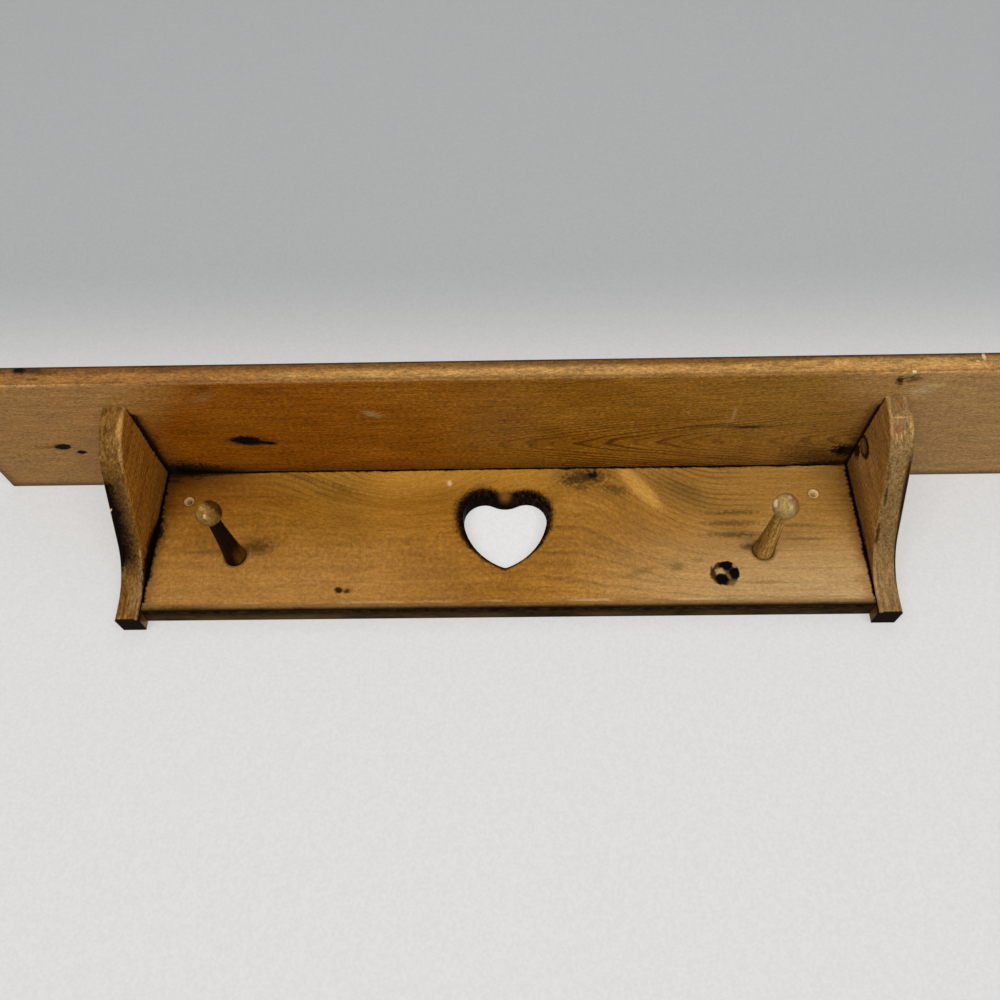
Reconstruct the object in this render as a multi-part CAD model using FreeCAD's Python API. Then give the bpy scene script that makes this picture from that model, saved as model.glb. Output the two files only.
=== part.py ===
import FreeCAD, Part
import math
import os
from FreeCAD import Placement, Rotation, Vector

# Country wall shelf: a long board on two sawn brackets, a heart-pierced back board between them, two pegs.
# X runs along the shelf, the wall is the plane Y = 0 with the room towards -Y, Z is up from the shelf's
# underside. All sizes are in millimetres.

# Shelf board
shelf_length = 902.0
shelf_depth = 150.0
shelf_thickness = 19.0
shelf_corner_radius = 8.0  # front corners, seen from above
shelf_edge_radius = 1.5  # eased edges along the front and both ends
shelf_overhang = 131.3  # past each bracket

# Back board, fitted between the brackets
back_height = 133.5
back_thickness = 19.0
back_edge_radius = 4.5  # round-over along the bottom front edge

# Brackets
bracket_thickness = 19.0
bracket_height = 141.5
bracket_reach = 120.5  # wall to nose
bracket_foot = 21.5  # wall to the front of the foot
nose_corner_drop = 32.2  # shelf to the corner where the nose and the slant would meet
nose_radius = 56.0
foot_corner_rise = 40.8  # bracket's bottom to the corner where the slant and the foot would meet
foot_radius = 54.0
bracket_edge_radius = 2.0  # eased front edges

# Heart cut-out, made of arcs that meet smoothly
heart_width = 72.6
heart_drop = 26.6  # shelf to the tops of the lobes
lobe_radius = 18.0
cleft_radius = 22.0  # rounded wood between the lobes
heart_side_radius = 54.4
heart_tip_radius = 5.0
heart_edge_radius = 4.0  # round-over on the front face

# Countersunk holes for the wall screws
screw_left_inset = 23.2  # from the back board's left end
screw_right_inset = 33.2  # from the back board's right end
screw_drop = 29.4  # shelf to the screws
screw_hole_diameter = 4.5
countersink_diameter = 8.0
countersink_angle = 90.0

# Turned pegs
peg_left_inset = 72.0  # from the back board's left end
peg_right_inset = 84.5  # from the back board's right end
peg_drop = 83.5  # shelf to the pegs
peg_length = 86.0  # board to the tip of the head
peg_base_diameter = 18.4
peg_neck_diameter = 9.8
peg_waist = 0.6  # hollow of the shaft's taper at its middle
peg_head_diameter = 20.2
tenon_diameter = 12.7
tenon_length = 15.0
tenon_clearance = 0.1

# Finishing nails, set below the surface
nail_length = 44.5
nail_diameter = 1.8
nail_head_diameter = 3.0
nail_head_height = 1.6
nail_point_length = 3.0
nail_set_depth = 1.0
nail_clearance = 0.05
bracket_nail_inset = 24.0  # from the wall, and from the nose, to the nails down into a bracket
back_nail_count = 4
back_nail_inset = 70.0  # from the back board's ends to the outer nails down into it
side_nail_drop = 50.0  # shelf to the upper nail through a bracket into the back board
side_nail_rise = 32.0  # back board's bottom to the lower one

# Worked out from the sizes above
back_length = shelf_length - 2 * (shelf_overhang + bracket_thickness)

# Working values
overrun = 1.0  # how far a cutter stands past the wood
run_share = 0.98  # most of a straight run that a rounded corner takes
half_share = 0.49  # most of a board's thickness that one of two facing round-overs takes
round_share = 0.9  # most of a thickness or a radius that a single round-over takes
tolerance = 1e-4


def arc_at(centre, radius, start, end):
    """Arc edge in an upright plane, angles in degrees from +X towards +Z."""
    points = []
    for angle in (start, (start + end) / 2, end):
        turn = math.radians(angle)
        points.append(centre + Vector(radius * math.cos(turn), 0, radius * math.sin(turn)))
    return Part.Arc(*points).toShape()


def rounded_corner(before, corner, after):
    """Start, middle and end of the arc that rounds a (point, radius) corner as far as its runs allow."""
    point, radius = corner
    back, ahead = before[0] - point, after[0] - point
    half = back.getAngle(ahead) / 2
    room = min(
        back.Length * radius / (radius + before[1]),
        ahead.Length * radius / (radius + after[1]),
    )
    run = min(radius / math.tan(half), run_share * room)
    back.normalize()
    ahead.normalize()
    real_radius = run * math.tan(half)
    inward = (back + ahead).normalize()
    middle = point + inward * (real_radius / math.sin(half) - real_radius)
    return [point + back * run, middle, point + ahead * run]


def rounded_wire(corners):
    """Closed wire of straight runs through (point, radius) corners. A radius of 0 leaves a corner sharp."""
    bends = []
    for i, corner in enumerate(corners):
        after = corners[(i + 1) % len(corners)]
        bends.append(rounded_corner(corners[i - 1], corner, after) if corner[1] else [corner[0]])
    edges = []
    for i, bend in enumerate(bends):
        if len(bend) == 3:
            edges.append(Part.Arc(*bend).toShape())
        edges.append(Part.makeLine(bend[-1], bends[(i + 1) % len(bends)][0]))
    return Part.Wire(edges)


def outline_of(corners):
    """Closed (radius, distance) polygon for turning."""
    points = [Vector(radius, 0, distance) for radius, distance in corners]
    return Part.makePolygon(points + points[:1])


def turned(profile, base, direction):
    """Solid turned from a (radius, distance) wire about its axis, then set at base along direction."""
    solid = Part.Face(profile).revolve(Vector(0, 0, 0), Vector(0, 0, 1), 360)
    solid.Placement = Placement(base, Rotation(Vector(0, 0, 1), direction))
    return solid


def lies_on(edge, axis, value):
    """True where the whole edge lies on the plane at value on that axis."""
    box = edge.BoundBox
    low, high = getattr(box, axis + "Min"), getattr(box, axis + "Max")
    return abs(low - value) < tolerance and abs(high - value) < tolerance


def back_place(left_inset, right_inset, drop):
    """A left and a right place on the front of the back board, set in from its ends."""
    half = back_length / 2
    return [Vector(x, -back_thickness, -drop) for x in (left_inset - half, half - right_inset)]


def shelf_board(nail_holes):
    """Long board with rounded front corners and eased edges along the front and the ends."""
    corner = Vector(-shelf_length / 2, -shelf_depth, 0)
    board = Part.makeBox(shelf_length, shelf_depth, shelf_thickness, corner)
    uprights = [e for e in board.Edges if lies_on(e, "Y", -shelf_depth) and e.BoundBox.ZLength > tolerance]
    board = board.makeFillet(shelf_corner_radius, uprights)
    rims = [e for e in board.Edges if lies_on(e, "Z", 0) or lies_on(e, "Z", shelf_thickness)]
    rims = [e for e in rims if not lies_on(e, "Y", 0)]
    edge_radius = min(shelf_edge_radius, half_share * shelf_thickness, round_share * shelf_corner_radius)
    return board.makeFillet(edge_radius, rims).cut(nail_holes)


def heart_wire(y):
    """Closed heart outline at depth y: cleft, lobes, sides and tip."""
    half = heart_width / 2
    lobe_x = half - lobe_radius
    lobe_z = -heart_drop - lobe_radius
    cleft_z = lobe_z + math.sqrt((lobe_radius + cleft_radius) ** 2 - lobe_x**2)
    side_x = half - heart_side_radius
    tip_z = lobe_z - math.sqrt((heart_side_radius - heart_tip_radius) ** 2 - side_x**2)
    cleft_end = math.degrees(math.atan2(lobe_z - cleft_z, lobe_x))
    side_end = math.degrees(math.atan2(tip_z - lobe_z, -side_x))
    return Part.Wire(
        [
            arc_at(Vector(0, y, cleft_z), cleft_radius, -180 - cleft_end, cleft_end),
            arc_at(Vector(lobe_x, y, lobe_z), lobe_radius, cleft_end + 180, 0),
            arc_at(Vector(side_x, y, lobe_z), heart_side_radius, 0, side_end),
            arc_at(Vector(0, y, tip_z), heart_tip_radius, side_end, -180 - side_end),
            arc_at(Vector(-side_x, y, lobe_z), heart_side_radius, -180 - side_end, -180),
            arc_at(Vector(-lobe_x, y, lobe_z), lobe_radius, 180, -cleft_end),
        ]
    )


def back_board(nail_holes):
    """Board on the wall: heart with a rounded front rim, screw holes and peg holes."""
    front = -back_thickness
    corner = Vector(-back_length / 2, front, -back_height)
    board = Part.makeBox(back_length, back_thickness, back_height, corner)
    bottom = [e for e in board.Edges if lies_on(e, "Y", front) and lies_on(e, "Z", -back_height)]
    board = board.makeFillet(min(back_edge_radius, round_share * back_thickness), bottom)
    heart = Part.Face(heart_wire(front - overrun)).extrude(Vector(0, back_thickness + 2 * overrun, 0))
    board = board.cut(heart)
    rim = [e for e in board.Edges if lies_on(e, "Y", front) and e.Curve.TypeId == "Part::GeomCircle"]
    rim_radius = min(heart_edge_radius, round_share * back_thickness, round_share * cleft_radius)
    board = board.makeFillet(rim_radius, rim)
    return board.cut(screw_holes() + peg_holes() + nail_holes)


def screw_holes():
    """Cutters for the countersunk holes through the back board."""
    bore = screw_hole_diameter / 2
    sink = countersink_diameter / 2
    sink_depth = (sink - bore) / math.tan(math.radians(countersink_angle / 2))
    through = back_thickness + overrun
    corners = [(0, -overrun), (sink, -overrun), (sink, 0), (bore, sink_depth), (bore, through), (0, through)]
    places = back_place(screw_left_inset, screw_right_inset, screw_drop)
    return [turned(outline_of(corners), place, Vector(0, 1, 0)) for place in places]


def peg_places():
    """Where the pegs' shoulders meet the back board."""
    return back_place(peg_left_inset, peg_right_inset, peg_drop)


def peg_holes():
    """Cutters for the blind holes that take the pegs' tenons."""
    radius = tenon_diameter / 2 + tenon_clearance
    depth = tenon_length + tenon_clearance
    return [Part.makeCylinder(radius, depth, place, Vector(0, 1, 0)) for place in peg_places()]


def peg(place):
    """Turned peg: tenon, hollow tapered shaft and ball head."""
    base, neck = peg_base_diameter / 2, peg_neck_diameter / 2
    head, tenon = peg_head_diameter / 2, tenon_diameter / 2
    ball_at = peg_length - head
    neck_at = ball_at - math.sqrt(head**2 - neck**2)
    tenon_end = Vector(0, 0, -tenon_length)
    tenon_rim = Vector(tenon, 0, -tenon_length)
    tenon_root = Vector(tenon, 0, 0)
    shoulder = Vector(base, 0, 0)
    waist = Vector((base + neck) / 2 - 2 * peg_waist, 0, neck_at / 2)
    neck_ring = Vector(neck, 0, neck_at)
    tip = Vector(0, 0, peg_length)
    taper = Part.BezierCurve()
    taper.setPoles([shoulder, waist, neck_ring])
    profile = Part.Wire(
        [
            Part.makeLine(tenon_end, tenon_rim),
            Part.makeLine(tenon_rim, tenon_root),
            Part.makeLine(tenon_root, shoulder),
            taper.toShape(),
            Part.Arc(neck_ring, Vector(head, 0, ball_at), tip).toShape(),
            Part.makeLine(tip, tenon_end),
        ]
    )
    return turned(profile, place, Vector(0, -1, 0))


def bracket(side, nail_holes):
    """Sawn bracket, drawn from the side and cut from one board, with eased front edges."""
    inner = side * back_length / 2

    def at(depth, z):
        return Vector(inner, -depth, z)

    outline = rounded_wire(
        [
            (at(0, 0), 0),
            (at(bracket_reach, 0), 0),
            (at(bracket_reach, -nose_corner_drop), nose_radius),
            (at(bracket_foot, foot_corner_rise - bracket_height), foot_radius),
            (at(bracket_foot, -bracket_height), 0),
            (at(0, -bracket_height), 0),
        ]
    )
    board = Part.Face(outline).extrude(Vector(side * bracket_thickness, 0, 0))
    front = [e for e in board.Edges if e.BoundBox.XLength < tolerance and not lies_on(e, "Y", 0)]
    front = [e for e in front if not lies_on(e, "Z", 0) and not lies_on(e, "Z", -bracket_height)]
    return board.makeFillet(min(bracket_edge_radius, half_share * bracket_thickness), front).cut(nail_holes)


def nail_and_hole(base, direction):
    """A nail driven at base along direction, set below the surface, and the hole that it makes."""
    shank, head = nail_diameter / 2, nail_head_diameter / 2
    head_end = nail_set_depth + nail_head_height
    tip = nail_set_depth + nail_length

    def outline(top, gap):
        return outline_of(
            [
                (0, top),
                (head + gap, top),
                (head + gap, head_end),
                (shank + gap, head_end),
                (shank + gap, tip - nail_point_length),
                (0, tip),
            ]
        )

    nail = turned(outline(nail_set_depth, 0), base, direction)
    hole = turned(outline(-overrun, nail_clearance), base, direction)
    return nail, hole


def nail_rows():
    """Places and directions of the nails in each of the three joints."""
    down = Vector(0, 0, -1)
    middle = (back_length + bracket_thickness) / 2
    depths = (bracket_nail_inset, bracket_reach - bracket_nail_inset)
    into_brackets = [(Vector(x, -d, shelf_thickness), down) for x in (-middle, middle) for d in depths]
    first = back_nail_inset - back_length / 2
    step = (back_length - 2 * back_nail_inset) / (back_nail_count - 1)
    along = [first + i * step for i in range(back_nail_count)]
    into_back = [(Vector(x, -back_thickness / 2, shelf_thickness), down) for x in along]
    outer = back_length / 2 + bracket_thickness
    heights = (-side_nail_drop, side_nail_rise - back_height)
    from_sides = [
        (Vector(side * outer, -back_thickness / 2, z), Vector(-side, 0, 0))
        for side in (-1, 1)
        for z in heights
    ]
    return {
        "shelf_bracket_nails": into_brackets,
        "shelf_back_nails": into_back,
        "bracket_back_nails": from_sides,
    }


def main():
    os.makedirs("parts", exist_ok=True)
    parts = {}
    holes = {}
    for name, places in nail_rows().items():
        driven = [nail_and_hole(base, direction) for base, direction in places]
        parts[name] = Part.makeCompound([nail for nail, hole in driven])
        holes[name] = [hole for nail, hole in driven]
    parts["shelf_board"] = shelf_board(holes["shelf_bracket_nails"] + holes["shelf_back_nails"])
    parts["back_board"] = back_board(holes["shelf_back_nails"] + holes["bracket_back_nails"])
    for side, name, place in zip((-1, 1), ("left", "right"), peg_places()):
        bracket_holes = holes["shelf_bracket_nails"] + holes["bracket_back_nails"]
        parts[name + "_bracket"] = bracket(side, bracket_holes)
        parts[name + "_peg"] = peg(place)
    for name, shape in parts.items():
        shape.exportStep(os.path.join("parts", name + ".step"))
        print(f"{name}: {len(shape.Solids)} solids, valid {shape.isValid()}, {shape.Volume / 1000:.2f} cm3")


main()
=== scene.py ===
import math
import bpy
from mathutils import Matrix, Vector


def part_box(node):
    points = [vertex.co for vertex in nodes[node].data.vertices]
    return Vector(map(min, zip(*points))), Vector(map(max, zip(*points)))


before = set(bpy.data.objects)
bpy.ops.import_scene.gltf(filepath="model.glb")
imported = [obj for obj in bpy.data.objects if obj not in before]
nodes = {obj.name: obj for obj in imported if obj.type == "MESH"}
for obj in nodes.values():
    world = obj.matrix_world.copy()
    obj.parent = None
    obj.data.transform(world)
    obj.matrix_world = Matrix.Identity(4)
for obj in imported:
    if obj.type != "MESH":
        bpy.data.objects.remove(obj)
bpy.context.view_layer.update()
print("frame loaded:", ", ".join(sorted(nodes)))

# All paint is placed in millimetres in the frame's own axes: x along the shelf, y into the wall, z up.
millimetres = 1000.0  # in one of Blender's metres


def inMillimetres(box):
    return [[value * millimetres for value in corner] for corner in box]


# Node helpers

socketKinds = {1: "NodeSocketFloat", 3: "NodeSocketVector", 4: "NodeSocketColor"}


def plugIn(tree, made, inputs):  # a socket is linked, anything else is a fixed value
    for key, value in inputs.items():
        if isinstance(value, bpy.types.NodeSocket):
            tree.links.new(value, made.inputs[key])
        else:
            made.inputs[key].default_value = value


def addNode(tree, kind, inputs=None, **settings):
    made = tree.nodes.new("ShaderNode" + kind)
    for name, value in settings.items():
        setattr(made, name, value)
    plugIn(tree, made, inputs or {})
    return made


def calc(tree, operation, *values):
    return addNode(tree, "Math", dict(enumerate(values)), operation=operation).outputs[0]


def calcVector(tree, operation, *values):
    return addNode(tree, "VectorMath", dict(enumerate(values)), operation=operation).outputs[0]


def vectorLength(tree, value):
    return addNode(tree, "VectorMath", {0: value}, operation="LENGTH").outputs["Value"]


def scaled(tree, value, factor):
    return addNode(tree, "VectorMath", {0: value, "Scale": factor}, operation="SCALE").outputs[0]


def split(tree, vector):
    return addNode(tree, "SeparateXYZ", {0: vector}).outputs


def joined(tree, x, y, z):
    return addNode(tree, "CombineXYZ", {0: x, 1: y, 2: z}).outputs[0]


def minus(tree, first, second):
    return calc(tree, "SUBTRACT", first, second)


def apart(tree, first, second):
    return calc(tree, "ABSOLUTE", minus(tree, first, second))


def addSwing(tree, value, amount, total):  # adds a noise's swing about its middle, times the amount
    return calc(tree, "MULTIPLY_ADD", minus(tree, value, 0.5), amount, total)


def product(tree, *values):
    total = values[0]
    for value in values[1:]:
        total = calc(tree, "MULTIPLY", total, value)
    return total


def ease(tree, value, start, end, low=0.0, high=1.0):  # smooth step from low at start to high at end
    sockets = {"Value": value, "From Min": start, "From Max": end, "To Min": low, "To Max": high}
    return addNode(tree, "MapRange", sockets, interpolation_type="SMOOTHSTEP").outputs[0]


def ramp(tree, value, start, end, low=0.0, high=1.0):  # straight, held at both ends
    sockets = {"Value": value, "From Min": start, "From Max": end, "To Min": low, "To Max": high}
    return addNode(tree, "MapRange", sockets).outputs[0]


def noise(tree, place, scale=1.0, detail=2.0, roughness=0.5):
    sockets = {"Vector": place, "Scale": scale, "Detail": detail, "Roughness": roughness}
    return addNode(tree, "TexNoise", sockets).outputs[0]


def grainNoise(tree, place, along, across, detail=2.0, roughness=0.5):  # drawn out along the grain
    stretched = calcVector(tree, "MULTIPLY", place, (1 / along, 1 / across, 1 / across))
    return noise(tree, stretched, 1.0, detail, roughness)


def evenNoise(tree, place, size, detail=2.0, roughness=0.5):
    return noise(tree, scaled(tree, place, 1 / size), 1.0, detail, roughness)


def mixColour(tree, factor, first, second, blend="MIX"):
    sockets = {0: factor, 6: first, 7: second}
    return addNode(tree, "Mix", sockets, data_type="RGBA", blend_type=blend).outputs[2]


def mixValue(tree, factor, first, second):
    return addNode(tree, "Mix", {0: factor, 2: first, 3: second}).outputs[0]


def newGroup(name, inputs, outputs):  # a socket's kind follows from its default: number, place or colour
    group = bpy.data.node_groups.new(name, "ShaderNodeTree")
    for direction, sockets in (("INPUT", inputs), ("OUTPUT", outputs)):
        for label, default in sockets.items():
            kind = socketKinds[len(default) if isinstance(default, tuple) else 1]
            socket = group.interface.new_socket(name=label, in_out=direction, socket_type=kind)
            socket.default_value = default
    return group, group.nodes.new("NodeGroupInput").outputs, group.nodes.new("NodeGroupOutput").inputs


def useGroup(tree, group, inputs):
    made = tree.nodes.new("ShaderNodeGroup")
    made.node_tree = group
    plugIn(tree, made, inputs)
    return made.outputs


def newMaterial(name):
    material = bpy.data.materials.new(name)
    material.use_nodes = True
    material.node_tree.nodes.clear()
    return material, material.node_tree


def showSurface(tree, shader):
    tree.links.new(shader.outputs[0], addNode(tree, "OutputMaterial").inputs["Surface"])


def seenDirectly(tree):  # 1 for the rays that show a background, 0 for the rays that only light things
    path = addNode(tree, "LightPath").outputs
    mirrored = calc(tree, "MAXIMUM", path["Is Glossy Ray"], path["Is Transmission Ray"])
    return calc(tree, "MAXIMUM", path["Is Camera Ray"], mirrored)


# Shared finishes

pineGrain = {
    "noises": {  # sizes along and across the grain, then detail and roughness
        "drift": (240.0, 60.0, 2.0),
        "shiver": (30.0, 9.0, 2.0),
        "fibre": (42.0, 1.4, 3.0, 0.65),
        "streak": (190.0, 7.0, 3.0),
        "cloud": (85.0, 38.0, 3.0, 0.6),
        "fleck": (3.6, 1.6, 2.0, 0.7),
        "pores": (11.0, 1.8, 2.0, 0.6),
        "blotch": (26.0, 5.0, 3.0, 0.6),
    },
    "speck": (1.2, 2.0, 0.7),
    "poreFade": (0.66, 0.78),
    "seedStep": 431.0,  # how far along the log the next seed lies
    "ripple": 0.9,  # share of a ring that the small waves take
    "lateRise": (0.45, 0.88),  # late wood comes slowly through the year
    "lateFall": (1.0, 0.9),  # and ends sharply
    "faintest": 0.2,  # no two years alike
    "tones": {"cloud": 1.0, "fibre": 0.5, "fleck": 0.7, "pits": -0.25},
    "mottles": {"fleck": 1.35, "fibre": 0.4, "speck": 1.0, "blotch": 0.7},
    "ringMottle": -0.45,
    "mottleLimits": (0.35, 1.65),
    "roughness": {"least": 0.36, "cloud": 0.16, "fibre": 0.2},
    "heights": {"fibre": 0.5, "fleck": 0.4},
    "depths": {"rings": 0.3, "pits": 0.5},
}


def makeStainedPine(grain):  # grain, growth rings and blotchy stain; Place is (along, across, into the board)
    black = (0, 0, 0, 1)
    inputs = {
        "Place": (0, 0, 0), "Deep": black, "Mid": black, "Pale": black, "Pith Across": 0.0,
        "Pith Depth": 60.0, "Taper": 0.0, "Ring Gap": 4.0, "Wander": 8.0,
        "Ring Strength": 0.3, "Streaks": 0.6, "Speckle": 1.0, "Seed": 0.0,
    }
    outputs = {"Colour": black, "Mottle": 0.0, "Roughness": 0.0, "Height": 0.0}
    tree, given, out = newGroup("stainedPine", inputs, outputs)
    shift = joined(tree, product(tree, given["Seed"], grain["seedStep"]), 0.0, 0.0)
    place = calcVector(tree, "ADD", given["Place"], shift)
    along, across, deep = split(tree, given["Place"])[:3]
    noises = {name: grainNoise(tree, place, *sizes) for name, sizes in grain["noises"].items()}
    noises["speck"] = evenNoise(tree, place, *grain["speck"])
    fibre, cloud, fleck = (noises[name] for name in ("fibre", "cloud", "fleck"))
    pits = ease(tree, noises["pores"], *grain["poreFade"])

    sideways = minus(tree, across, given["Pith Across"])
    below = calc(tree, "ADD", deep, given["Pith Depth"])
    radius = vectorLength(tree, joined(tree, sideways, below, 0.0))
    radius = calc(tree, "MULTIPLY_ADD", along, given["Taper"], radius)  # the log narrows along its length
    wobble = product(tree, minus(tree, noises["drift"], 0.5), given["Wander"])
    rippleSize = product(tree, given["Ring Gap"], grain["ripple"])
    ripple = product(tree, minus(tree, noises["shiver"], 0.5), rippleSize)
    radius = calc(tree, "ADD", radius, calc(tree, "ADD", wobble, ripple))
    turns = calc(tree, "DIVIDE", radius, given["Ring Gap"])
    share = calc(tree, "FRACT", turns)
    lateWood = product(tree, ease(tree, share, *grain["lateRise"]), ease(tree, share, *grain["lateFall"]))
    count = calc(tree, "ADD", calc(tree, "FLOOR", turns), given["Seed"])
    each = addNode(tree, "TexWhiteNoise", {"W": count}, noise_dimensions="1D").outputs[0]
    faintest = grain["faintest"]
    rings = product(tree, lateWood, calc(tree, "MULTIPLY_ADD", each, 1.0 - faintest, faintest))
    ringShade = product(tree, rings, given["Ring Strength"])

    tone, tones = 0.5, grain["tones"]
    tone = addSwing(tree, cloud, tones["cloud"], tone)
    tone = addSwing(tree, noises["streak"], given["Streaks"], tone)
    tone = addSwing(tree, fibre, tones["fibre"], tone)
    tone = addSwing(tree, fleck, product(tree, given["Speckle"], tones["fleck"]), tone)
    tone = minus(tree, tone, ringShade)
    tone = calc(tree, "MULTIPLY_ADD", pits, tones["pits"], tone)
    colour = mixColour(tree, ramp(tree, tone, 0.0, 0.5), given["Deep"], given["Mid"])
    colour = mixColour(tree, ramp(tree, tone, 0.5, 1.0), colour, given["Pale"])

    mottle = 0.0  # shows through whatever is painted over the grain
    for name, amount in grain["mottles"].items():
        mottle = addSwing(tree, noises[name], amount, mottle)
    mottle = calc(tree, "MULTIPLY_ADD", mottle, given["Speckle"], 1.0)
    mottle = calc(tree, "MULTIPLY_ADD", ringShade, grain["ringMottle"], mottle)
    mottle = ramp(tree, mottle, *grain["mottleLimits"], *grain["mottleLimits"])
    rough, heights, depths = grain["roughness"], grain["heights"], grain["depths"]
    roughness = calc(tree, "MULTIPLY_ADD", cloud, rough["cloud"], rough["least"])
    roughness = calc(tree, "MULTIPLY_ADD", fibre, rough["fibre"], roughness)
    height = calc(tree, "MULTIPLY_ADD", fibre, heights["fibre"], product(tree, fleck, heights["fleck"]))
    depth = calc(tree, "MULTIPLY_ADD", rings, depths["rings"], product(tree, pits, depths["pits"]))
    height = minus(tree, height, depth)
    for name, value in (("Colour", colour), ("Mottle", mottle), ("Roughness", roughness), ("Height", height)):
        tree.links.new(value, out[name])
    return tree


seamLook = {
    "teeth": (15.0, 2.6, 4.0, 0.65),
    "teethFade": (0.3, 0.8),
    "swellSize": 24.0,
    "swellFade": (0.3, 0.72, 0.12, 1.5),
    "grit": (1.7, 2.0, 0.6),
    "gritSwing": 0.9,
    "edgeFade": (1.2, 0.35),  # share of the stain's reach over which it ends
}


def makeSeamStain(look):  # stain caught in a seam; it creeps out raggedly along the grain
    inputs = {
        "Place": (0, 0, 0), "Distance": 0.0, "Width": 1.0, "Bleed": 5.0, "Seed": 0.0,
    }
    tree, given, out = newGroup("seamStain", inputs, {"Mask": 0.0})
    shifted = calcVector(tree, "ADD", given["Place"], joined(tree, 0.0, given["Seed"], 0.0))
    teeth = ease(tree, grainNoise(tree, shifted, *look["teeth"]), *look["teethFade"])
    swell = ease(tree, evenNoise(tree, shifted, look["swellSize"]), *look["swellFade"])
    grit = evenNoise(tree, shifted, *look["grit"])
    edge = calc(tree, "MULTIPLY_ADD", product(tree, teeth, swell), given["Bleed"], given["Width"])
    level = addSwing(tree, grit, look["gritSwing"], calc(tree, "DIVIDE", given["Distance"], edge))
    tree.links.new(ease(tree, level, *look["edgeFade"]), out["Mask"])
    return tree


patchLook = {"noise": (1.0, 4.0, 0.65), "coverSlope": -0.5, "bareLevel": 0.75}


def makePatches(look):  # worn or grimy patches of about one size; Cover is the share that they take
    inputs = {
        "Place": (0, 0, 0), "Size": (10, 10, 10), "Cover": 0.5, "Soft": 0.1, "Seed": 0.0,
    }
    tree, given, out = newGroup("patches", inputs, {"Mask": 0.0})
    shift = joined(tree, given["Seed"], given["Seed"], given["Seed"])
    shifted = calcVector(tree, "ADD", given["Place"], shift)
    spread = noise(tree, calcVector(tree, "DIVIDE", shifted, given["Size"]), *look["noise"])
    level = calc(tree, "MULTIPLY_ADD", given["Cover"], look["coverSlope"], look["bareLevel"])
    low = minus(tree, level, given["Soft"])
    high = calc(tree, "ADD", level, given["Soft"])
    tree.links.new(ease(tree, spread, low, high), out["Mask"])
    return tree


spotLook = {"noise": (0.32, 3.0, 0.6), "raggedSwing": 2.4}


def makeSpot(look):  # one ragged, turned, egg-shaped mark
    inputs = {
        "Place": (0, 0, 0), "Centre": (0, 0, 0), "Half Size": (1, 1, 1),
        "Turn Axis": (0, 0, 1), "Turn": 0.0, "Ragged": 0.3, "Soft": 0.4,
    }
    tree, given, out = newGroup("spotMark", inputs, {"Mask": 0.0})
    offset = calcVector(tree, "SUBTRACT", given["Place"], given["Centre"])
    sockets = {"Vector": offset, "Axis": given["Turn Axis"], "Angle": given["Turn"]}
    turned = addNode(tree, "VectorRotate", sockets, rotation_type="AXIS_ANGLE").outputs[0]
    size = vectorLength(tree, calcVector(tree, "DIVIDE", turned, given["Half Size"]))
    rough = minus(tree, noise(tree, given["Place"], *look["noise"]), 0.5)
    rough = product(tree, rough, product(tree, given["Ragged"], look["raggedSwing"]))
    edge = minus(tree, 1.0, given["Soft"])
    tree.links.new(ease(tree, calc(tree, "ADD", size, rough), 1.0, edge), out["Mask"])
    return tree


rubLook = {
    "grit": (2.6, 2.0, 0.6),
    "edgeGrit": 2.0,
    "patch": (26.0, 4.0, 0.65),
    "patchGrit": 0.35,
    "patchFade": (0.34, 0.62),
    "softFrom": 0.6,  # share of the reach that is rubbed through whole
}


def makeRubbedEdge(look):  # varnish rubbed through along an edge where two faces meet; on the brackets partly a painted highlight
    inputs = {
        "Place": (0, 0, 0), "Off One Face": 0.0, "Off Other Face": 0.0, "Reach": 6.0,
        "Patchy": 0.5, "Seed": 0.0,
    }
    tree, given, out = newGroup("rubbedEdgeAndHighlight", inputs, {"Mask": 0.0})
    shifted = calcVector(tree, "ADD", given["Place"], joined(tree, given["Seed"], given["Seed"], 0.0))
    grit = evenNoise(tree, shifted, *look["grit"])
    patch = addSwing(tree, grit, look["patchGrit"], evenNoise(tree, shifted, *look["patch"]))
    patch = ease(tree, patch, *look["patchFade"])
    kept = minus(tree, 1.0, product(tree, given["Patchy"], minus(tree, 1.0, patch)))
    offOne = calc(tree, "MAXIMUM", given["Off One Face"], 0.0)
    offOther = calc(tree, "MAXIMUM", given["Off Other Face"], 0.0)
    both = addSwing(tree, grit, look["edgeGrit"], calc(tree, "ADD", offOne, offOther))
    mask = ease(tree, both, given["Reach"], product(tree, given["Reach"], look["softFrom"]))
    tree.links.new(product(tree, mask, kept), out["Mask"])
    return tree


stainedPine = makeStainedPine(pineGrain)
seamStain = makeSeamStain(seamLook)
spotMark = makeSpot(spotLook)
rubbedEdgeAndHighlight = makeRubbedEdge(rubLook)
patchMask = makePatches(patchLook)
print("shared finishes made")

stainColours = {
    "black": (0.0030, 0.0014, 0.0008, 1),
    "umber": (0.055, 0.022, 0.0040, 1),
    "olive": (0.170, 0.100, 0.026, 1),
    "bare": (0.520, 0.300, 0.105, 1),
    # pale chips in the wood, and a painted highlight on the left peg's head
    "chipAndHighlight": (0.720, 0.560, 0.340, 1),
}


# Building one wood material
# A fade is (start, end) or (start, end, low, high) along a named field of the piece.

turnAxes = {"x": (1, 0, 0), "y": (0, 1, 0), "z": (0, 0, 1)}
seamRoughness = 0.85  # stain that soaked in
markRoughness = 0.75
rubRoughness = 0.5
rubDent = 0.15
bumpDistance = 0.0003
varnishLost = (0.8, 0.45)  # roughness at which no varnish is left, and at which it is whole


def wash(colour, amount, within=(), patch=None, roughness=None, blend="MIX", **fades):  # a broad tint
    return {
        "colour": colour, "amount": amount, "within": within, "patch": patch,
        "roughness": roughness, "blend": blend, "fades": fades,
    }


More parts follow.
